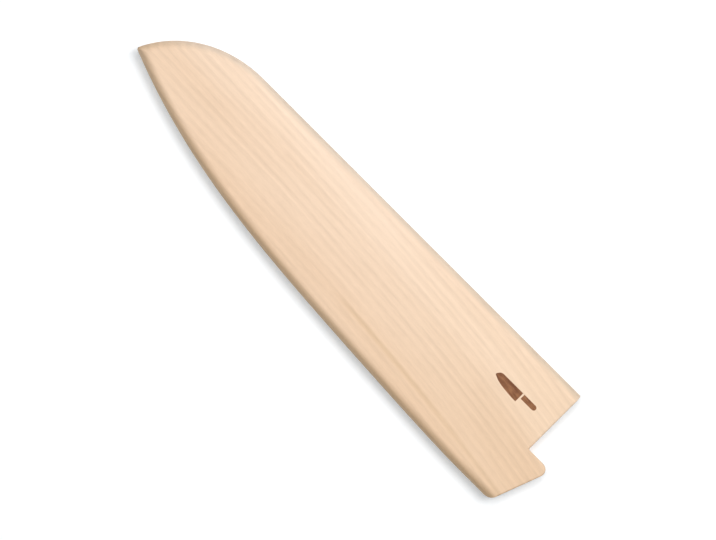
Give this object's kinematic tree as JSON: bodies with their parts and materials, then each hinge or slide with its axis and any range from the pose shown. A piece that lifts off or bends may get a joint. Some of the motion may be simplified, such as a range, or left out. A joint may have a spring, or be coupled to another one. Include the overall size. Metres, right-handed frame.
{
  "type": "knife blade guard",
  "caption": "Wooden sheath for a kitchen knife: a flat tapered slab with rounded sides, a blade slot between two face boards, a notched mouth and hidden magnets.",
  "frame": {"origin": "on the rear face, which the guard lies on, under the middle of its length and height", "axes": "+X from the tip towards the mouth, the way the knife is drawn out; +Y towards the spine side; +Z out of the front face"},
  "size_m": [0.23, 0.054, 0.014],
  "materials": {
    "board_wood": "sanded, matt oil",
    "core_wood": "sawn and sanded, matt oil",
    "magnet_nickel": "satin nickel plate"
  },
  "bodies": {
    "root": {"front_board": "board_wood", "core_frame": "core_wood", "rear_board": "board_wood", "front_magnet_heel": "magnet_nickel", "front_magnet_middle": "magnet_nickel", "front_magnet_tip": "magnet_nickel", "rear_magnet_heel": "magnet_nickel", "rear_magnet_middle": "magnet_nickel", "rear_magnet_tip": "magnet_nickel"}
  },
  "joints": []
}
